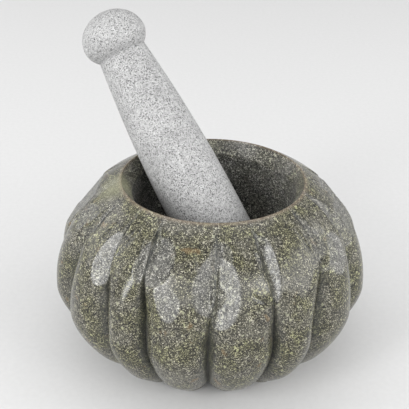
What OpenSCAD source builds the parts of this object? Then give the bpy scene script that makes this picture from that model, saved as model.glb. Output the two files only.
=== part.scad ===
// Granite mortar and pestle. The mortar is one block of stone, carved outside as a squat ribbed pumpkin
// and hollowed from above. The pestle is one turned stone that stands loose in the bowl and leans on
// the rim. Millimetres, +Z up, +X to the right and -Y to the front. The origin is the centre of the
// mortar's flat base.

/* [Mortar] */
// Widest diameter over the lobes
mortar_diameter = 160; // [140:1:180]
// Height of the widest part above the base
belly_height = 40; // [39:1:46]
// Height of the rim's crest above the base
rim_height = 95; // [88:1:95]
// How far the shoulder's oval would rise above the belly if it closed to a point
shoulder_rise = 63.5; // [63:0.5:70]
// How far the heel's oval would drop below the belly if it closed to a point
heel_drop = 67.5; // [62:0.5:80]
// Depth of the grooves between the lobes
groove_depth = 8; // [3:0.5:9]
// Depth of the hollow flutes beside each groove, on the shoulder
flute_depth = 3.2; // [1:0.2:4]
// How far the lobes' lower ends curl in under the heel
heel_tuck = 4; // [0:0.5:6]

/* [Bowl] */
// Radius of the bowl's mouth, inside the chamfer
mouth_radius = 41.2; // [38:0.2:43]
// How far the bowl was cut to the right of the block's centre
bowl_shift = 2; // [0:0.5:3]
// Width of the sloping band between the rim's crest and the bowl, seen from above
chamfer_width = 4.5; // [3:0.5:6]
// Depth of that band
chamfer_depth = 6; // [4:0.5:8]
// Thickness of stone under the bowl
floor_thickness = 26; // [18:1:32]

/* [Pestle] */
// Radius of the shaft just below the knob
neck_radius = 12.8; // [11:0.2:14]
// Radius of the shaft at its widest, above the rounded foot
shaft_radius = 18.6; // [16:0.2:20]
// Distance from the neck down to the centre of the rounded foot
shaft_length = 122; // [110:1:140]
// Distance from the neck down to where the shaft is full width
flare_length = 92; // [70:1:105]
// Radius of the knob
knob_radius = 16.9; // [15:0.1:20]
// Height of the knob's widest part above the neck
knob_rise = 8.6; // [7:0.2:10]
// Height of the knob's crown above its widest part
knob_crown = 14.6; // [12:0.2:18]

/* [How the pestle stands] */
// Lean of the pestle from upright, in degrees
pestle_lean = 38.2; // [36:0.1:39]
// Direction it leans in, in degrees anticlockwise from +X seen from above
pestle_bearing = 138.8; // [0:0.1:360]
// How far the foot stands off the bowl's axis, on the side away from the lean
foot_offset = 13.3; // [12:0.1:15]
// Gap left between the two stones
stone_gap = 0.3; // [0.2:0.1:0.5]

/* [Hidden] */

// Where the grooves cross the belly, in degrees anticlockwise from the front seen from above. The lobes
// were set out by eye, so their widths differ.
GROOVE_BEARINGS = [-1, 24, 41, 68, 90, 111, 133, 156, 178, 201, 223, 246, 269, 292, 319, 335.5];
// How far each groove has swung round by the time it reaches the rim, in degrees
GROOVE_LEANS = [4, -2, 10, 4, 4, -2, 3, 2, -3, 3, -2, 2, 6, 6, -3, -3];
LOBES = len(GROOVE_BEARINGS);

// The block's outline is two part ovals, and these are their powers: 2 is a true ellipse
SHOULDER_POWER = 2.3;
HEEL_POWER = 1.5;

// Below this height the lobes curl in, and the grooves grow shallower
HEEL_CURL_Z = 16;
HEEL_SHARE = 0.7;
// The grooves fade out over the shoulder between these heights
GROOVE_FADE_START = 50;
GROOVE_FADE_END = 78;
// The flutes start above the belly, are full on the shoulder and stop short of the rim
FLUTE_START = 56;
FLUTE_FULL = 70;
FLUTE_FADE = 80;
FLUTE_END = 91;
// Half the share of a lobe that the flutes leave standing as a crest, at its widest and narrowest
CREST_WIDE = 0.95;
CREST_NARROW = 0.3;
// How round a lobe is across: 1 would meet its neighbours in grooves with upright walls
LOBE_ROUNDNESS = 0.97;

// The skin's grid
LOBE_COLUMNS = 9;
COLUMNS = LOBES * LOBE_COLUMNS;
HEEL_ROWS = 10;
SHOULDER_ROWS = 14;
SKIN_SPARE = 2;
SKIN_TOP = rim_height + SKIN_SPARE;
SHOULDER_SWEEP = asin((SKIN_TOP - belly_height) / shoulder_rise);

// The chamfer's cone runs on above the rim, so that it cuts all of the spare skin away
CUT_SPARE = 6;
BOWL_CENTRE_Z = floor_thickness + mouth_radius;
MOUTH_Z = rim_height - chamfer_depth;

// The pestle's own frame stands on its axis, with the centre of its foot at the origin
KNOB_Z = shaft_length + knob_rise;
KNOB_UNDER_DEPTH = 12.6;
FOOT_REACH = mouth_radius - shaft_radius - stone_gap;
FOOT_Z = BOWL_CENTRE_Z - sqrt(FOOT_REACH ^ 2 - foot_offset ^ 2);

ARC_STEPS = 14;
ROUND_FN = 144;

function smooth_step(low, high, x) =
    let (t = min(1, max(0, (x - low) / (high - low))))
    t * t * (3 - 2 * t);

function skin_heights() = [
    for (i = [0 : HEEL_ROWS - 1]) -SKIN_SPARE + (belly_height + SKIN_SPARE) * i / HEEL_ROWS,
    for (i = [0 : SHOULDER_ROWS]) belly_height + shoulder_rise * sin(SHOULDER_SWEEP * i / SHOULDER_ROWS)
];

// Radius of the block over its lobes at height z
function lobe_radius(z) =
    let (power = z < belly_height ? HEEL_POWER : SHOULDER_POWER)
    let (rise = z < belly_height ? (belly_height - z) / heel_drop : (z - belly_height) / shoulder_rise)
    mortar_diameter / 2 * (1 - rise ^ power) ^ (1 / power) - heel_tuck * (1 - smooth_step(0, HEEL_CURL_Z, z));

function groove_depth_at(z) =
    groove_depth
    * (HEEL_SHARE + (1 - HEEL_SHARE) * smooth_step(-SKIN_SPARE, HEEL_CURL_Z, z))
    * (1 - smooth_step(GROOVE_FADE_START, GROOVE_FADE_END, z));

function flute_depth_at(z) =
    flute_depth * smooth_step(FLUTE_START, FLUTE_FULL, z) * (1 - smooth_step(FLUTE_FADE, FLUTE_END, z));

// Both shares run from 0 on a lobe's crest to 1 in a groove
function lobe_share(w) =
    (1 - sqrt(1 - (LOBE_ROUNDNESS * w) ^ 2)) / (1 - sqrt(1 - LOBE_ROUNDNESS ^ 2));

function flute_share(w, z) =
    let (crest = CREST_WIDE + (CREST_NARROW - CREST_WIDE) * smooth_step(FLUTE_START, FLUTE_FULL, z))
    let (t = max(0, (w - crest) / (1 - crest)))
    t * (2 - t);

function skin_radius(w, z) =
    lobe_radius(z) - groove_depth_at(z) * lobe_share(w) - flute_depth_at(z) * flute_share(w, z);

function groove_bearing(i, z) =
    let (turn = floor(i / LOBES))
    GROOVE_BEARINGS[i % LOBES] + 360 * turn
    + GROOVE_LEANS[i % LOBES] * smooth_step(belly_height, rim_height, z);

// A point of the skin: column 0 of a lobe lies in a groove, and the columns crowd towards the grooves
function skin_point(column, z) =
    let (lobe = floor(column / LOBE_COLUMNS))
    let (share = (1 - cos(180 * (column % LOBE_COLUMNS) / LOBE_COLUMNS)) / 2)
    let (bearing = groove_bearing(lobe, z) * (1 - share) + groove_bearing(lobe + 1, z) * share)
    let (radius = skin_radius(abs(2 * share - 1), z))
    [radius * sin(bearing), -radius * cos(bearing), z];

module carved_block() {
    heights = skin_heights();
    rows = len(heights);
    points = [for (z = heights) for (column = [0 : COLUMNS - 1]) skin_point(column, z)];
    walls = [
        for (row = [0 : rows - 2])
            for (column = [0 : COLUMNS - 1])
                let (next = (column + 1) % COLUMNS)
                let (low = row * COLUMNS)
                let (high = low + COLUMNS)
                each [
                    [low + column, high + column, high + next],
                    [low + column, high + next, low + next]
                ]
    ];
    foot = [[for (column = [0 : COLUMNS - 1]) column]];
    crown = [[for (column = [COLUMNS - 1 : -1 : 0]) (rows - 1) * COLUMNS + column]];
    polyhedron(points, concat(foot, walls, crown));
}

// Everything cut out from above: the round bowl and the chamfer around its mouth
module bowl_cutter() {
    cone_top = rim_height + CUT_SPARE;
    cone_radius = mouth_radius + chamfer_width * (cone_top - MOUTH_Z) / chamfer_depth;
    round_floor = [
        for (i = [0 : ARC_STEPS])
            let (angle = 90 * i / ARC_STEPS)
            [mouth_radius * sin(angle), BOWL_CENTRE_Z - mouth_radius * cos(angle)]
    ];
    translate([bowl_shift, 0, 0])
        rotate_extrude($fn = ROUND_FN)
            polygon(concat(round_floor, [[mouth_radius, MOUTH_Z], [cone_radius, cone_top], [0, cone_top]]));
}

module mortar() {
    color([0.44, 0.45, 0.38])
        difference() {
            carved_block();
            translate([0, 0, -2 * SKIN_SPARE])
                cylinder(h = 2 * SKIN_SPARE, r = mortar_diameter, $fn = ROUND_FN);
            bowl_cutter();
        }
}

// Half the pestle's outline, from the tip of the foot up to the crown of the knob
function pestle_outline() = concat(
    [for (i = [0 : ARC_STEPS])
        let (angle = 90 * i / ARC_STEPS)
        [shaft_radius * sin(angle), -shaft_radius * cos(angle)]],
    [for (i = [0 : ARC_STEPS])
        let (t = 1 - i / ARC_STEPS)
        [shaft_radius - (shaft_radius - neck_radius) * (1 - t) ^ 2, shaft_length - flare_length * t]],
    [for (i = [0 : ARC_STEPS])
        let (angle = asin(knob_rise / KNOB_UNDER_DEPTH) * (1 - i / ARC_STEPS))
        [knob_radius * cos(angle), KNOB_Z - KNOB_UNDER_DEPTH * sin(angle)]],
    [for (i = [1 : ARC_STEPS])
        let (angle = 90 * i / ARC_STEPS)
        [knob_radius * cos(angle), KNOB_Z + knob_crown * sin(angle)]]
);

module pestle() {
    color([0.72, 0.72, 0.71])
        translate([bowl_shift, 0, FOOT_Z])
            rotate([0, 0, pestle_bearing])
                translate([-foot_offset, 0, 0])
                    rotate([0, pestle_lean, 0])
                        rotate_extrude($fn = ROUND_FN)
                            polygon(pestle_outline());
}

mortar();
pestle();
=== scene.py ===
from math import asin, cos, radians, sin, sqrt

import bpy
import numpy as np
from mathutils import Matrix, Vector


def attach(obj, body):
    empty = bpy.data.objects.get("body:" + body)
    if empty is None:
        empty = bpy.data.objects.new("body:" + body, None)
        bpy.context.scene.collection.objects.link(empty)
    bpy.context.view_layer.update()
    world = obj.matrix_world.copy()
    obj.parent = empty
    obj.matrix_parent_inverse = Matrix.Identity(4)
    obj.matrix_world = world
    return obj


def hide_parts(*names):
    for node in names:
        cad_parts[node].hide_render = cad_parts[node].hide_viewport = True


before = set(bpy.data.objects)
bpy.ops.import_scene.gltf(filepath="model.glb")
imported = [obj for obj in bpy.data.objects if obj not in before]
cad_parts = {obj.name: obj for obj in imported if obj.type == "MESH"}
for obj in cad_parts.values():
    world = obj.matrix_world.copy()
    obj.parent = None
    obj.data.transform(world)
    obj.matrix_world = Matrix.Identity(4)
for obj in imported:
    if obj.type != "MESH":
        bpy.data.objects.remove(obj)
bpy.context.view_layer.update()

MM = 0.001
SEED = 7

# ---- The mortar's outline, as the CAD has it ----
LOBE_RADIUS = 80.0
BELLY_Z = 40.0
RIM_Z = 95.0
SHOULDER_RISE = 63.5
HEEL_DROP = 67.5
SHOULDER_POWER = 2.3
HEEL_POWER = 1.5
BOWL_X = 2.0
MOUTH_RADIUS = 41.2
FLOOR_Z = 26.0
CHAMFER_WIDTH = 4.5
CHAMFER_DEPTH = 6.0
BOWL_CENTRE_Z = FLOOR_Z + MOUTH_RADIUS
MOUTH_Z = RIM_Z - CHAMFER_DEPTH

# ---- Lobes: where each groove crosses the belly, and its swing round towards the rim, in degrees ----
GROOVE_BEARINGS = [-1, 24, 41, 68, 90, 111, 133, 156, 178, 201, 223, 246, 269, 292, 319, 335.5]
GROOVE_LEANS = [4, -2, 10, 4, 4, -2, 3, 2, -3, 3, -2, 2, 6, 6, -3, -3]
LOBES = len(GROOVE_BEARINGS)
GROOVE_DEPTH = 8.8
HEEL_SHARE = 1.15
HEEL_TUCK = 3.0
HEEL_TUCK_TOP = 16.0
LOBE_ROUNDNESS = 0.965
HEEL_ROUNDNESS = 0.90
SCOOP_TOP = 93.0
LINE_SHARE = 0.11
LINE_MARK_SHARE = 0.09
EDGE_SHARE = 0.07
DEEPEST_FACET = 4.0

# For each groove: the height near which its deep part runs out, and the depth of the fine line above it
GROOVE_TOPS = [67, 69, 76, 80, 76, 74, 76, 72, 76, 74, 76, 72, 80, 80, 80, 78]
LINE_DEPTHS = [0.8, 1.4, 2.4, 2.2, 1.2, 0.9, 1.4, 0.8, 1.2, 0.9, 1.2, 0.8, 1.6, 2.0, 2.2, 2.2]

# Each lobe's two ground scoops, first the one beside the groove it starts at and then the other:
# (share of the lobe's width, depth, height of its lower end)
SCOOPS = [
    ((0.30, 2.2, 70), (0.14, 2.0, 76)),
    ((0.17, 2.6, 72), (0.12, 1.2, 78)),
    ((0.40, 3.2, 70), (0.20, 2.4, 76)),
    ((0.36, 3.0, 68), (0.28, 2.6, 70)),
    ((0.40, 3.6, 64), (0.36, 3.4, 62)),
    ((0.32, 3.2, 66), (0.44, 3.8, 62)),
    ((0.46, 3.8, 62), (0.28, 3.0, 68)),
    ((0.34, 3.4, 66), (0.40, 3.6, 63)),
    ((0.42, 3.6, 64), (0.30, 3.2, 67)),
    ((0.28, 3.2, 68), (0.46, 3.8, 62)),
    ((0.40, 3.6, 63), (0.32, 3.2, 66)),
    ((0.36, 3.4, 66), (0.50, 4.0, 65)),
    ((0.28, 2.6, 73), (0.34, 3.0, 68)),
    ((0.20, 2.4, 79), (0.30, 2.6, 68)),
    ((0.10, 1.4, 78), (0.12, 1.4, 76)),
    ((0.22, 2.6, 76), (0.22, 2.6, 70)),
]

# Single cuts that the carver left on the shoulder: lobe, where each end is as (share across, height),
# half its width and its depth
NICKS = [
    (0, (0.12, 90), (0.05, 76), 1.0, 0.9),
    (0, (0.86, 89), (0.93, 75), 1.0, 0.9),
    (15, (0.16, 90), (0.07, 76), 1.0, 0.9),
    (15, (0.64, 90), (0.76, 78), 0.9, 0.8),
    (14, (0.70, 90), (0.86, 74), 1.0, 0.9),
    (1, (0.76, 90), (0.88, 76), 1.0, 0.9),
    (2, (0.14, 89), (0.10, 74), 1.0, 0.9),
    (3, (0.20, 90), (0.12, 78), 1.0, 0.9),
    (13, (0.62, 90), (0.48, 79), 1.0, 0.9),
    (12, (0.70, 89), (0.56, 76), 1.1, 0.9),
    (14, (0.50, 91), (0.10, 78), 1.1, 1.0),
    (14, (0.30, 90), (0.04, 82), 0.9, 0.8),
    (1, (0.20, 87), (0.14, 74), 0.9, 0.8),
    (0, (0.62, 72), (0.84, 67), 0.8, 0.6),
    (2, (0.30, 84), (0.62, 74), 1.2, 0.8),
    (4, (0.70, 86), (0.50, 68), 1.6, 1.0),
    (6, (0.30, 80), (0.62, 66), 1.8, 1.1),
    (7, (0.72, 88), (0.60, 74), 1.0, 0.8),
    (9, (0.40, 62), (0.70, 76), 2.0, 1.2),
    (10, (0.58, 90), (0.52, 76), 0.9, 0.8),
    (12, (0.60, 88), (0.78, 78), 1.1, 0.9),
]

# Flat facets ground on the lobes: lobe, share across, height, the bearing and tilt it faces, depth
FACETS = [
    (0, 0.37, 70, -22, 29, 1.0),
    (0, 0.14, 85, -14, 48, 0.6),
    (1, 0.13, 79, -28, 31, 1.2),
    (2, 0.50, 71, 56, 33, 0.9),
    (3, 0.45, 76, 82, 37, 1.0),
    (12, 0.55, 85, -72, 46, 0.5),
    (13, 0.74, 71, -16, 30, 1.0),
    (14, 0.86, 76, -2, 38, 0.6),
    (15, 0.86, 73, 18, 31, 1.4),
    (15, 0.32, 63, -20, 24, 0.28),
    (15, 0.12, 82, -40, 44, 0.8),
    (4, 0.30, 76, 84, 38, 1.5),
    (5, 0.66, 70, 128, 32, 1.4),
    (6, 0.34, 78, 134, 40, 1.6),
    (7, 0.60, 72, 172, 34, 1.3),
    (8, 0.36, 75, 182, 37, 1.5),
    (9, 0.64, 80, 220, 42, 1.4),
    (10, 0.40, 70, 228, 33, 1.5),
    (11, 0.62, 76, 266, 38, 1.6),
]

# ---- How finely the mortar is meshed ----
COLUMNS_PER_LOBE = 48
HEEL_ROWS = 46
SHOULDER_ROWS = 110
BOWL_ROWS = 40
BASE_EDGE = 3.0

# ---- Unevenness and wear: how far the skin, the pestle and the bowl stand off their true outlines ----
SKIN_INSET = 0.3
PESTLE_INSET = 0.12
BOWL_WEAR = 0.12
LIP_DROP = 2.6
LIP_DROP_BEARING = radians(135)
LIP_DROP_SPREAD = radians(38)

# ---- The pestle's outline and how it stands, as the CAD has them ----
NECK_RADIUS = 12.8
SHAFT_RADIUS = 18.6
SHAFT_LENGTH = 122.0
FLARE_LENGTH = 92.0
KNOB_RADIUS = 16.9
KNOB_RISE = 8.6
KNOB_CROWN = 14.6
KNOB_UNDER_DEPTH = 12.6
PESTLE_LEAN = radians(38.2)
PESTLE_BEARING = radians(138.8)
FOOT_OFFSET = 13.3
STONE_GAP = 0.3
FOOT_REACH = MOUTH_RADIUS - SHAFT_RADIUS - STONE_GAP
FOOT_Z = BOWL_CENTRE_Z - sqrt(FOOT_REACH**2 - FOOT_OFFSET**2)


def smooth_step(low, high, x):
    t = np.clip((np.asarray(x, float) - low) / (high - low), 0.0, 1.0)
    return t * t * (3.0 - 2.0 * t)


def unevenness(angle, height, size, seed):
    """A slow, seamless wander over a round stone, at most about size either way."""
    rng = np.random.RandomState(seed)
    total = np.zeros(np.broadcast(angle, height).shape)
    for turns in (2, 3, 5, 7, 9, 12):
        for rise in (35.0, 60.0, 110.0):
            phase, tilt = rng.uniform(0, 2 * np.pi, 2)
            around = np.sin(turns * angle + phase) / turns**0.5
            total += around * np.sin(height * 2 * np.pi / rise + tilt)
    return total * size / 5.0


# ---- Mesh making ----

def grid_piece(name, points, marks, body, slot):
    """One closed stone from a grid of points, with rows from the bottom pole to the top one and columns
    going round. marks holds one number a point for each named attribute that the material reads."""
    rows, columns, _ = points.shape
    start = points[0].mean(0)
    end = points[-1].mean(0)
    vertices = np.vstack([points.reshape(-1, 3), start, end]) * MM
    here = np.arange(columns)
    after = (here + 1) % columns
    faces = []
    for row in range(rows - 1):
        low = row * columns
        high = low + columns
        faces += np.stack([low + here, low + after, high + after, high + here], 1).tolist()
    last = (rows - 1) * columns
    bottom_pole = rows * columns
    top_pole = bottom_pole + 1
    faces += [(bottom_pole, int(after[i]), int(here[i])) for i in range(columns)]
    faces += [(top_pole, last + int(here[i]), last + int(after[i])) for i in range(columns)]
    mesh = bpy.data.meshes.new(name)
    mesh.from_pydata(vertices.tolist(), [], faces)
    for mark, values in marks.items():
        layer = mesh.attributes.new(mark, "FLOAT", "POINT")
        spread = np.concatenate([values.ravel(), [values[0].mean(), values[-1].mean()]])
        layer.data.foreach_set("value", spread.astype(np.float32))
    mesh.shade_smooth()
    mesh.update()
    piece = bpy.data.objects.new(name, mesh)
    bpy.context.scene.collection.objects.link(piece)
    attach(piece, body)
    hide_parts(body)
    return piece


# ---- The mortar ----

def lobe_outline(z):
    """Radius of the block over its lobes at height z."""
    heel = z < BELLY_Z
    power = np.where(heel, HEEL_POWER, SHOULDER_POWER)
    rise = np.where(heel, (BELLY_Z - z) / HEEL_DROP, (z - BELLY_Z) / SHOULDER_RISE)
    return LOBE_RADIUS * np.clip(1.0 - np.abs(rise) ** power, 0.0, None) ** (1.0 / power)


def groove_share(across, z):
    """0 on a lobe's crest and 1 in a groove: the round back of a lobe. across runs from -1 to 1."""
    roundness = HEEL_ROUNDNESS + (LOBE_ROUNDNESS - HEEL_ROUNDNESS) * smooth_step(4, 26, z)
    full = 1.0 - np.sqrt(1.0 - roundness**2)
    return (1.0 - np.sqrt(1.0 - (roundness * across) ** 2)) / full


def scoop(from_groove, z, width, depth, lower_end):
    """(depth, share) of one scoop: leaf-shaped, steep at its outer edge and flat towards the groove."""
    rise = (z - lower_end) / (SCOOP_TOP - lower_end)
    leaf = 0.4 + 0.6 * np.clip(rise / 0.26, 0, 1) ** 0.6
    leaf = leaf * (1 - 0.50 * smooth_step(0.42, 0.75, rise) - 0.15 * smooth_step(0.75, 1.0, rise))
    t = np.clip(1.0 - from_groove / np.maximum(width * leaf, 1e-4), 0.0, 1.0)
    strength = smooth_step(0.0, 0.22, rise) * (1.0 - smooth_step(0.60, 1.05, rise))
    return depth * strength * t * (2.0 - t), smooth_step(0.0, 0.4, rise) * np.clip(t * 2.5, 0.0, 1.0)


def nick_cut(lobe, share, z):
    """Depth of the single cuts, each a shallow V that tapers out at its ends."""
    cut = np.zeros(np.shape(share))
    across = 2 * np.pi * LOBE_RADIUS / LOBES
    for number, (share_a, z_a), (share_b, z_b), half_width, depth in NICKS:
        run, rise = (share_b - share_a) * across, z_b - z_a
        length = sqrt(run**2 + rise**2)
        east, north = (share - share_a) * across, z - z_a
        along = np.clip((east * run + north * rise) / length**2, 0, 1)
        away = np.abs(east * rise - north * run) / length
        taper = np.sqrt(np.clip(np.sin(np.pi * along), 0, 1))
        inside = np.clip(1 - away / (half_width * np.maximum(taper, 1e-3)), 0, 1)
        cut = np.maximum(cut, np.where(lobe == number, depth * taper * inside, 0))
    return cut


def plain_skin(lobe, share, z):
    """Angle, radius, groove shade mark (painted shade) and scoop mark of the skin before its facets are
    ground.
    """
    bearings = np.array(GROOVE_BEARINGS + [GROOVE_BEARINGS[0] + 360.0])
    leans = np.array(GROOVE_LEANS + [GROOVE_LEANS[0]], float)
    tops = np.array(GROOVE_TOPS + [GROOVE_TOPS[0]], float)
    lines = np.array(LINE_DEPTHS + [LINE_DEPTHS[0]], float)
    table = np.array(SCOOPS, float)

    swing = smooth_step(BELLY_Z, RIM_Z, z)
    left = bearings[lobe] + leans[lobe] * swing
    right = bearings[lobe + 1] + leans[lobe + 1] * swing
    angle = np.radians(left * (1 - share) + right * share)

    # The deep groove below, which runs out at its own height on each side of the lobe
    across = 2 * share - 1
    nearer = np.where(across < 0, tops[lobe], tops[lobe + 1])
    top = nearer + (tops[lobe] * (1 - share) + tops[lobe + 1] * share - nearer) * (1 - np.abs(across))
    deep = HEEL_SHARE + (1 - HEEL_SHARE) * smooth_step(-2, 16, z)
    deep = deep * (1 - smooth_step(top - 22, top + 4, z))
    groove_cut = GROOVE_DEPTH * deep * groove_share(across, z)

    # The scoops above; both sides of a groove meet at the mean of their depths
    left_cut, left_mark = scoop(share, z, *table[lobe, 0].T)
    right_cut, right_mark = scoop(1 - share, z, *table[lobe, 1].T)
    zero = np.zeros(np.shape(share))
    over_left = scoop(zero, z, *table[lobe - 1, 1].T)[0]
    over_right = scoop(zero, z, *table[(lobe + 1) % LOBES, 0].T)[0]
    own_left = scoop(zero, z, *table[lobe, 0].T)[0]
    own_right = scoop(zero, z, *table[lobe, 1].T)[0]
    left_cut = left_cut + (over_left - own_left) / 2 * np.clip(1 - share / EDGE_SHARE, 0, 1)
    right_cut = right_cut + (over_right - own_right) / 2 * np.clip(1 - (1 - share) / EDGE_SHARE, 0, 1)

    # The fine line in which the two sides meet
    depth = np.where(across < 0, lines[lobe], lines[lobe + 1])
    line = np.clip(1 - (1 - np.abs(across)) / LINE_SHARE, 0, 1)
    line_cut = depth * line**1.5 * smooth_step(50, 66, z) * (1 - smooth_step(88, 94, z))

    nick = nick_cut(lobe, share, z)
    cut = groove_cut + np.maximum(left_cut, right_cut) + line_cut + nick
    tuck = HEEL_TUCK * (1 - smooth_step(0, HEEL_TUCK_TOP, z))
    radius = lobe_outline(z) - cut - tuck
    # The groove shade mark: painted shade in the groove bottoms, the fine lines and the nicks, also read
    # for roughness
    groove = np.clip((np.abs(across) - 0.60) / 0.40, 0, 1) ** 2 * np.clip(deep, 0, 1)
    thin = np.clip(1 - (1 - np.abs(across)) / LINE_MARK_SHARE, 0, 1) * np.clip(line_cut * 1.2, 0, 1)
    groove = np.maximum(groove, np.maximum(thin, 0.6 * np.clip(nick, 0, 1)))
    return angle, radius, groove, np.maximum(left_mark, right_mark)


def facet_planes():
    """The plane of each facet: its lobe, the way it faces, and how far along that way it stands."""
    planes = []
    for lobe, share, height, bearing, tilt, depth in FACETS:
        there, reach, _, _ = plain_skin(np.array([lobe]), np.array([share]), np.array([float(height)]))
        facing, up = radians(bearing), radians(tilt)
        level = reach * np.cos(there - facing) * cos(up) + height * sin(up) - depth
        planes.append((lobe, facing, up, level))
    return planes


PLANES = facet_planes()


def skin_at(lobe, share, z):
    """Angle, radius, groove shade mark (painted shade) and scoop mark at a share of the way across a lobe
    and a height.
    """
    angle, radius, groove, scooped = plain_skin(lobe, share, z)
    inside = np.clip(np.minimum(share, 1 - share) / EDGE_SHARE, 0, 1)
    cut = np.zeros(np.shape(radius))
    for number, facing, up, level in PLANES:
        flat = (level - z * sin(up)) / (np.maximum(np.cos(angle - facing), 0.2) * cos(up))
        ground = np.clip(radius - flat, 0, DEEPEST_FACET) * inside * (1 - smooth_step(85, 91, z))
        cut = np.maximum(cut, np.where(lobe == number, ground, 0))
    # Facets lessen the painted groove shade where they cut
    groove = groove * np.clip(1 - cut, 0.3, 1)
    scooped = np.maximum(scooped * 0.6, np.clip(cut * 5, 0, 1))
    return angle, radius - cut, groove, scooped


def crest_heights(lobe, share):
    """The height at which the skin meets the chamfer's cone, for each column."""
    low = np.full(len(lobe), RIM_Z - 6.0)
    high = np.full(len(lobe), RIM_Z + 4.0)
    for _ in range(30):
        z = (low + high) / 2
        angle, radius, _, _ = skin_at(lobe, share, z)
        from_bowl = np.hypot(radius * np.sin(angle) - BOWL_X, radius * np.cos(angle))
        cone = MOUTH_RADIUS + CHAMFER_WIDTH * (z - MOUTH_Z) / CHAMFER_DEPTH
        outside = from_bowl > cone
        low = np.where(outside, z, low)
        high = np.where(outside, high, z)
    return (low + high) / 2


def mortar_points():
    """Rows of points from the base, up the skin, over the rim and down the bowl, with their marks."""
    number = np.arange(LOBES * COLUMNS_PER_LOBE)
    lobe = number // COLUMNS_PER_LOBE
    even = (number % COLUMNS_PER_LOBE) / COLUMNS_PER_LOBE
    share = 0.5 * even + 0.25 * (1 - np.cos(np.pi * even))
    crest_z = crest_heights(lobe, share)

    rows, marks = [], {"groove": [], "scoop": [], "rim": [], "bowl": [], "foot": []}

    def add(x, y, z, **given):
        rows.append(np.stack([x, y, np.broadcast_to(z, x.shape)], 1))
        for mark in marks:
            marks[mark].append(np.broadcast_to(given.get(mark, 0.0), x.shape).astype(float))

    # The flat base, then a small round edge up on to the heel
    angle, radius, groove, _ = skin_at(lobe, share, np.zeros(len(lobe)))
    for part in (0.05, 0.25, 0.5, 0.75, 0.92):
        out = (radius - BASE_EDGE) * part
        add(out * np.sin(angle), -out * np.cos(angle), 0.0, foot=1.0)
    for step in range(4):
        turn = radians(30 * step)
        z = BASE_EDGE * (1 - cos(turn))
        angle, radius, groove, _ = skin_at(lobe, share, np.full(len(lobe), z))
        out = radius - BASE_EDGE * (1 - sin(turn)) * 0.8
        add(out * np.sin(angle), -out * np.cos(angle), z, groove=groove, foot=1.0 - step / 3)

    # The skin, from the heel to the crest of the rim
    heel = np.linspace(BASE_EDGE, BELLY_Z, HEEL_ROWS)[1:]
    sweep = asin((RIM_Z - BELLY_Z) / SHOULDER_RISE)
    shoulder = BELLY_Z + SHOULDER_RISE * np.sin(np.linspace(0, sweep, SHOULDER_ROWS)[1:])
    for z in np.concatenate([heel, shoulder]):
        share_up = smooth_step(BELLY_Z, RIM_Z, z)
        height = z + (crest_z - RIM_Z) * share_up
        angle, radius, groove, scooped = skin_at(lobe, share, height)
        inset = SKIN_INSET - unevenness(angle, height, SKIN_INSET, SEED) * (1 - smooth_step(84, 92, z))
        inset = np.maximum(inset, 0.0) * (1 - smooth_step(90, 94, z))
        out = radius - inset
        rim = smooth_step(93.8, 94.9, z)
        add(out * np.sin(angle), -out * np.cos(angle), height, groove=groove, scoop=scooped, rim=rim)

    # Over the crest, down the chamfer and down the bowl's wall to its floor
    crest = rows[-1]
    turn = np.arctan2(crest[:, 0] - BOWL_X, -crest[:, 1])
    reach = np.hypot(crest[:, 0] - BOWL_X, crest[:, 1])
    away = (turn - LIP_DROP_BEARING + np.pi) % (2 * np.pi) - np.pi
    lower = LIP_DROP * np.exp(-((away / LIP_DROP_SPREAD) ** 2))
    for part in (0.04, 0.12, 0.3, 0.5, 0.7, 0.86, 0.95, 1.0):
        out = reach + (MOUTH_RADIUS - reach) * part
        z = crest[:, 2] + (MOUTH_Z - lower - crest[:, 2]) * part
        rim = 1 - smooth_step(0.0, 0.16, part)
        bowl = 0.5 * smooth_step(0.0, 0.1, part)
        add(BOWL_X + out * np.sin(turn), -out * np.cos(turn), z, rim=rim, bowl=bowl)
    for part in (0.06, 0.15, 0.3, 0.45, 0.6, 0.8, 1.0):
        z = MOUTH_Z - lower + (BOWL_CENTRE_Z - MOUTH_Z + lower) * part
        out = MOUTH_RADIUS + BOWL_WEAR * smooth_step(0, 0.3, part)
        add(BOWL_X + out * np.sin(turn), -out * np.cos(turn), z, bowl=smooth_step(0.0, 0.06, part))
    for step in range(1, BOWL_ROWS):
        bend = radians(90 * step / BOWL_ROWS)
        out = (MOUTH_RADIUS + BOWL_WEAR) * cos(bend)
        z = BOWL_CENTRE_Z - (MOUTH_RADIUS + BOWL_WEAR) * sin(bend)
        add(BOWL_X + out * np.sin(turn), -out * np.cos(turn), z, bowl=1.0)
    return np.array(rows), {mark: np.array(values) for mark, values in marks.items()}


# ---- The pestle ----

def pestle_outline():
    """(distance along the axis from the foot's centre, radius), from the foot's tip to the knob's crown."""
    line = []
    for step in range(1, 40):
        bend = radians(90 * step / 40)
        line.append((-SHAFT_RADIUS * cos(bend), SHAFT_RADIUS * sin(bend)))
    for step in range(9):
        line.append(((SHAFT_LENGTH - FLARE_LENGTH) * step / 9, SHAFT_RADIUS))
    for step in range(61):
        up = step / 60
        radius = SHAFT_RADIUS - (SHAFT_RADIUS - NECK_RADIUS) * up**2
        line.append((SHAFT_LENGTH - FLARE_LENGTH * (1 - up), radius))
    knob_z = SHAFT_LENGTH + KNOB_RISE
    under = asin(KNOB_RISE / KNOB_UNDER_DEPTH)
    for step in range(16):
        bend = under * (1 - step / 16)
        line.append((knob_z - KNOB_UNDER_DEPTH * sin(bend), KNOB_RADIUS * cos(bend)))
    for step in range(30):
        bend = radians(90 * step / 30)
        line.append((knob_z + KNOB_CROWN * sin(bend), KNOB_RADIUS * cos(bend)))
    return line


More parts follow.
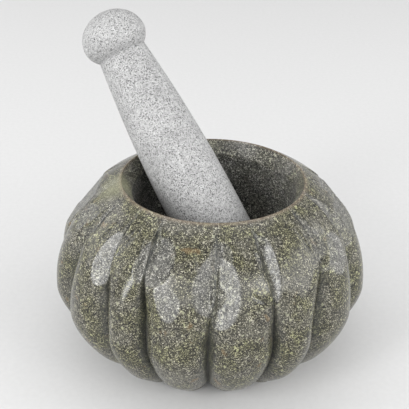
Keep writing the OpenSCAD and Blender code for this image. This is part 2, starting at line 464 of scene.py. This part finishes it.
def pestle_points():
    """Rows of points from the foot's tip up to the knob's crown, with the mark of the painted shade in the
    crease under the knob.
    """
    columns = 128
    angle = np.arange(columns) * 2 * np.pi / columns
    level = sin(PESTLE_LEAN)
    up = Vector((level * cos(PESTLE_BEARING), level * sin(PESTLE_BEARING), cos(PESTLE_LEAN)))
    side = up.cross(Vector((0, 0, 1))).normalized()
    front = up.cross(side)
    foot = np.array([
        BOWL_X - FOOT_OFFSET * cos(PESTLE_BEARING),
        -FOOT_OFFSET * sin(PESTLE_BEARING),
        FOOT_Z,
    ])
    rows, neck = [], []
    for along, radius in pestle_outline():
        dent = PESTLE_INSET - unevenness(angle, along, PESTLE_INSET, SEED + 1)
        out = np.maximum(radius - np.maximum(dent, 0) * smooth_step(-SHAFT_RADIUS, 0, along), 0.0)
        ring = (
            foot
            + np.outer(np.full(columns, along), up)
            + np.outer(out * np.cos(angle), side)
            + np.outer(out * np.sin(angle), front)
        )
        rows.append(ring)
        # Painted shade mark: a narrow band at the crease where the knob meets the shaft
        neck.append(np.full(columns, np.exp(-(((along - SHAFT_LENGTH) / 1.6) ** 2))))
    return np.array(rows), {"neck": np.array(neck)}


# ---- Materials ----

class Nodes:
    """A short way to wire a material's nodes."""

    def __init__(self, name):
        self.material = bpy.data.materials.new(name)
        self.material.use_nodes = True
        self.tree = self.material.node_tree
        self.shader = self.tree.nodes["Principled BSDF"]

    def add(self, kind, inputs=(), **settings):
        node = self.tree.nodes.new(kind)
        for key, value in settings.items():
            setattr(node, key, value)
        for key, value in dict(inputs).items():
            self.put(node.inputs[key], value)
        return node

    def put(self, socket, value):
        if isinstance(value, bpy.types.NodeSocket):
            self.tree.links.new(value, socket)
        else:
            socket.default_value = value

    def set(self, socket, value):
        self.put(self.shader.inputs[socket], value)

    def maths(self, operation, a, b=0.0, clamp=False):
        return self.add("ShaderNodeMath", {0: a, 1: b}, operation=operation, use_clamp=clamp).outputs[0]

    def mix(self, share, a, b, blend="MIX"):
        node = self.add("ShaderNodeMix", data_type="RGBA", blend_type=blend)
        self.put(node.inputs["Factor"], share)
        self.put(node.inputs["A"], a)
        self.put(node.inputs["B"], b)
        return node.outputs["Result"]

    def ramp(self, value, stops, interpolation="LINEAR"):
        node = self.add("ShaderNodeValToRGB", {"Fac": value})
        band = node.color_ramp
        band.interpolation = interpolation
        while len(band.elements) < len(stops):
            band.elements.new(0.5)
        for element, (place, colour) in zip(band.elements, stops):
            element.position = place
            element.color = (*colour, 1.0) if isinstance(colour, tuple) else (colour, colour, colour, 1.0)
        return node.outputs["Color"]

    def blend(self, weight, share, a, b):
        """a turning into b where weight is high, by at most share."""
        return self.mix(self.maths("MULTIPLY", weight, share), a, b)

    def plus(self, a, weight, share, clamp=False):
        """a with the share of weight added to it."""
        return self.maths("ADD", a, self.maths("MULTIPLY", weight, share), clamp)

    def toned(self, colour, saturation, value):
        inputs = {"Saturation": saturation, "Value": value, "Color": colour}
        return self.add("ShaderNodeHueSaturation", inputs).outputs[0]

    def bumped(self, height, strength):
        """Sets the shader's normal from a height in millimetres."""
        node = self.add("ShaderNodeBump", {"Strength": strength, "Distance": MM, "Height": height})
        self.set("Normal", node.outputs[0])

    def mark(self, name):
        node = self.add("ShaderNodeAttribute", attribute_name=name, attribute_type="GEOMETRY")
        return node.outputs["Fac"]

    def noise(self, place, size, detail=2.0, roughness=0.5):
        """Noise whose lumps are about size millimetres across."""
        node = self.add(
            "ShaderNodeTexNoise",
            {"Vector": place, "Scale": 1.0 / (size * MM), "Detail": detail, "Roughness": roughness},
        )
        return node.outputs["Fac"]

    def grains(self, place, size):
        """Two random numbers for each grain, for grains about size millimetres across."""
        node = self.add("ShaderNodeTexVoronoi", {"Vector": place, "Scale": 1.0 / (size * MM)})
        parts = self.add("ShaderNodeSeparateColor", {"Color": node.outputs["Color"]})
        return parts.outputs[0], parts.outputs[1]


def stone_place(nodes):
    """Object coordinates with a fine wobble, so that grains have ragged outlines."""
    place = nodes.add("ShaderNodeTexCoord").outputs["Object"]
    wobble = nodes.add("ShaderNodeTexNoise", {"Vector": place, "Scale": 1.0 / (0.7 * MM), "Detail": 2.0})
    kind = "ShaderNodeVectorMath"
    shift = nodes.add(kind, {0: wobble.outputs["Color"], 1: (0.5, 0.5, 0.5)}, operation="SUBTRACT")
    scaled = nodes.add(kind, {0: shift.outputs[0], "Scale": 0.5 * MM}, operation="SCALE")
    return nodes.add(kind, {0: place, 1: scaled.outputs[0]}, operation="ADD").outputs[0]


# Centre and reach, in metres, of the pale patch on the rim
PALE_PATCH = (-0.0465, -0.007, 0.094)
PALE_PATCH_RADIUS = 14 * MM


def speckled_granite():
    nodes = Nodes("speckled_granite")
    place = stone_place(nodes)
    coarse, coarse_other = nodes.grains(place, 0.46)
    fine, fine_other = nodes.grains(place, 0.32)
    big, _ = nodes.grains(place, 1.1)

    grain_colours = [
        (0.00, (0.006, 0.006, 0.005)),
        (0.34, (0.009, 0.009, 0.007)),
        (0.46, (0.029, 0.028, 0.019)),
        (0.66, (0.070, 0.067, 0.045)),
        (0.82, (0.140, 0.133, 0.098)),
        (0.96, (0.410, 0.388, 0.315)),
    ]
    mixed = nodes.ramp(nodes.noise(place, 1.6, 1.0), [(0.44, 0.0), (0.56, 1.0)])
    base = nodes.mix(mixed, nodes.ramp(coarse, grain_colours), nodes.ramp(fine, grain_colours))

    # Cream crystals, a few larger, and patches that are greener or rustier than the rest
    cream = nodes.ramp(big, [(0.0, 1.0), (0.020, 1.0), (0.030, 0.0), (1.0, 0.0)])
    base = nodes.blend(cream, 0.6, base, (0.36, 0.36, 0.25, 1.0))
    drift = nodes.noise(place, 13.0, 3.0, 0.6)
    green = nodes.ramp(drift, [(0.42, 0.0), (0.60, 1.0)])
    olive = nodes.mix(1.0, base, (0.91, 0.93, 0.63, 1.0), blend="MULTIPLY")
    base = nodes.blend(green, 0.75, base, olive)
    base = nodes.mix(nodes.ramp(drift, [(0.30, 0.30), (0.46, 0.0)]), base, (0.135, 0.130, 0.105, 1.0))
    cloud = nodes.ramp(nodes.noise(place, 3.2, 2.0, 0.6), [(0.36, 0.80), (0.64, 1.24)])
    base = nodes.mix(1.0, base, cloud, blend="MULTIPLY")
    patch = nodes.noise(place, 7.0, 2.0, 0.5)
    rust = nodes.ramp(patch, [(0.66, 0.0), (0.74, 1.0)])
    base = nodes.blend(rust, 0.35, base, (0.22, 0.135, 0.055, 1.0))

    # Ground hollows show paler and greyer; the bowl greyer and paler, its paler tone partly painted light
    # on the shaded inside; groove bottoms darker with painted shade; the rim's edge browner
    base = nodes.blend(nodes.mark("scoop"), 0.75, base, nodes.toned(base, 0.40, 1.15))
    # The bowl's tone: greyer for its honed stone, and paler partly as painted light lifting its shaded
    # inside
    base = nodes.blend(nodes.mark("bowl"), 0.95, base, nodes.toned(base, 0.32, 1.25))
    # Painted shade: groove bottoms, fine lines and nicks darkened towards near-black
    base = nodes.blend(nodes.mark("groove"), 0.72, base, (0.042, 0.046, 0.046, 1.0))
    base = nodes.blend(nodes.mark("rim"), 0.34, base, (0.27, 0.20, 0.14, 1.0))
    base = nodes.blend(nodes.mark("foot"), 0.5, base, (0.22, 0.22, 0.20, 1.0))

    # The pale patch on the rim, at the left
    spot = nodes.add("ShaderNodeVectorMath", {0: place, 1: PALE_PATCH}, operation="DISTANCE")
    away = nodes.maths("DIVIDE", spot.outputs["Value"], PALE_PATCH_RADIUS)
    pale = nodes.ramp(away, [(0.30, 0.38), (1.0, 0.0)])
    base = nodes.mix(pale, base, (0.36, 0.36, 0.23, 1.0))
    nodes.set("Base Color", base)

    # Polished outside, scratched along the ground hollows, duller in the grooves and honed in the bowl
    scuffs = nodes.noise(place, 5.0, 3.0, 0.6)
    rough = nodes.maths("ADD", nodes.maths("MULTIPLY", scuffs, 0.14), 0.11)
    rough = nodes.plus(rough, fine_other, 0.08)
    stretched = nodes.add("ShaderNodeMapping", {"Vector": place, "Scale": (1.0, 1.0, 0.12)}).outputs[0]
    streaks = nodes.ramp(nodes.noise(stretched, 1.1, 2.0, 0.6), [(0.35, 0.0), (0.68, 1.0)])
    scratched = nodes.maths("MULTIPLY", nodes.mark("scoop"), streaks)
    rough = nodes.plus(rough, scratched, 0.22)
    rough = nodes.plus(rough, nodes.mark("groove"), 0.25)
    rough = nodes.plus(rough, nodes.mark("bowl"), 0.30, clamp=True)
    nodes.set("Roughness", rough)
    nodes.set("Specular IOR Level", 0.54)

    pits = nodes.plus(nodes.maths("MULTIPLY", coarse_other, 0.5), fine_other, 0.5)
    ripple = nodes.noise(place, 6.0, 2.0, 0.5)
    nodes.bumped(nodes.plus(nodes.maths("MULTIPLY", pits, 0.010), ripple, 0.06), 0.6)
    return nodes.material


def pale_granite():
    nodes = Nodes("pale_granite")
    place = stone_place(nodes)
    coarse, coarse_other = nodes.grains(place, 0.52)
    fine, fine_other = nodes.grains(place, 0.38)
    grain_colours = [
        (0.00, (0.05, 0.05, 0.05)),
        (0.13, (0.14, 0.14, 0.14)),
        (0.28, (0.29, 0.29, 0.29)),
        (0.70, (0.395, 0.395, 0.393)),
        (1.00, (0.54, 0.54, 0.54)),
    ]
    mixed = nodes.ramp(nodes.noise(place, 1.6, 1.0), [(0.44, 0.0), (0.56, 1.0)])
    base = nodes.mix(mixed, nodes.ramp(coarse, grain_colours), nodes.ramp(fine, grain_colours))
    drift = nodes.noise(place, 14.0, 3.0, 0.55)
    cloud = nodes.ramp(drift, [(0.35, 0.92), (0.65, 1.05)])
    base = nodes.mix(1.0, base, cloud, blend="MULTIPLY")
    # Painted shade darkens the crease under the knob
    base = nodes.blend(nodes.mark("neck"), 0.25, base, (0.30, 0.30, 0.30, 1.0))
    nodes.set("Base Color", base)
    rough = nodes.maths("ADD", nodes.maths("MULTIPLY", nodes.noise(place, 4.0, 3.0, 0.6), 0.20), 0.45)
    nodes.set("Roughness", rough)
    nodes.set("Specular IOR Level", 0.45)
    pits = nodes.plus(nodes.maths("MULTIPLY", coarse_other, 0.5), fine_other, 0.5)
    nodes.bumped(nodes.maths("MULTIPLY", pits, 0.08), 0.5)
    return nodes.material


# ---- The stones ----

mortar = grid_piece("mortar_stone", *mortar_points(), body="mortar", slot="speckled_granite")
mortar.data.materials.append(speckled_granite())
pestle = grid_piece("pestle_stone", *pestle_points(), body="pestle", slot="pale_granite")
pestle.data.materials.append(pale_granite())


# ---- Studio ----

def add_floor():
    half = 3.0
    mesh = bpy.data.meshes.new("studio_floor")
    corners = [(-half, -half, 0), (half, -half, 0), (half, half, 0), (-half, half, 0)]
    mesh.from_pydata(corners, [], [(0, 1, 2, 3)])
    floor = bpy.data.objects.new("studio_floor", mesh)
    bpy.context.scene.collection.objects.link(floor)
    nodes = Nodes("studio_paper")
    grain = nodes.noise(nodes.add("ShaderNodeTexCoord").outputs["Object"], 3.0, 2.0)
    nodes.set("Base Color", nodes.ramp(grain, [(0.3, 0.575), (0.7, 0.595)]))
    nodes.set("Roughness", 0.9)
    mesh.materials.append(nodes.material)


def add_softbox(name, place, target, size, power):
    lamp = bpy.data.lights.new(name, "AREA")
    lamp.shape = "RECTANGLE"
    lamp.size, lamp.size_y = size
    lamp.energy = power
    box = bpy.data.objects.new(name, lamp)
    box.location = place
    box.rotation_euler = (Vector(target) - Vector(place)).to_track_quat("-Z", "Y").to_euler()
    bpy.context.scene.collection.objects.link(box)


def add_world(strength):
    world = bpy.data.worlds.new("studio_world")
    world.use_nodes = True
    background = world.node_tree.nodes["Background"]
    background.inputs["Color"].default_value = (1.0, 1.0, 1.0, 1.0)
    background.inputs["Strength"].default_value = strength
    bpy.context.scene.world = world


def add_camera():
    """The camera looks down at the stones from the front."""
    elevation = radians(28.66)
    distance = 0.480
    look_at = Vector((-0.00275, 0.0, 0.07965))
    camera = bpy.data.objects.new("camera", bpy.data.cameras.new("camera"))
    camera.location = look_at + Vector((0, -cos(elevation), sin(elevation))) * distance
    camera.rotation_euler = (look_at - camera.location).to_track_quat("-Z", "Y").to_euler()
    camera.data.lens = 83.4
    camera.data.sensor_width = 36.0
    camera.data.clip_start = 0.01
    bpy.context.scene.collection.objects.link(camera)
    bpy.context.scene.camera = camera


# Name, place, the point it faces, (width, height) and power in watts
MIDDLE = (0.0, 0.0, 0.06)
SOFTBOXES = [
    ("left_bank", (-1.05, 0.30, 0.55), MIDDLE, (1.20, 0.80), 4.5),
    ("left_softbox", (-0.67, -0.72, 0.50), MIDDLE, (0.26, 0.66), 6.2),
    ("right_softbox", (0.72, -0.70, 0.56), MIDDLE, (0.28, 0.40), 2.2),
    ("right_bank", (1.05, -0.05, 0.45), MIDDLE, (1.10, 0.70), 6.0),
    ("ceiling", (0.0, 0.45, 1.35), (0.0, 0.35, 0.0), (1.60, 1.20), 5.8),
    ("front_fill", (0.1, -1.30, 0.75), (0.0, -0.15, 0.0), (1.80, 0.80), 8.5),
]

add_floor()
for softbox in SOFTBOXES:
    add_softbox(*softbox)
add_world(0.66)
add_camera()
bpy.context.scene.view_settings.view_transform = "Standard"
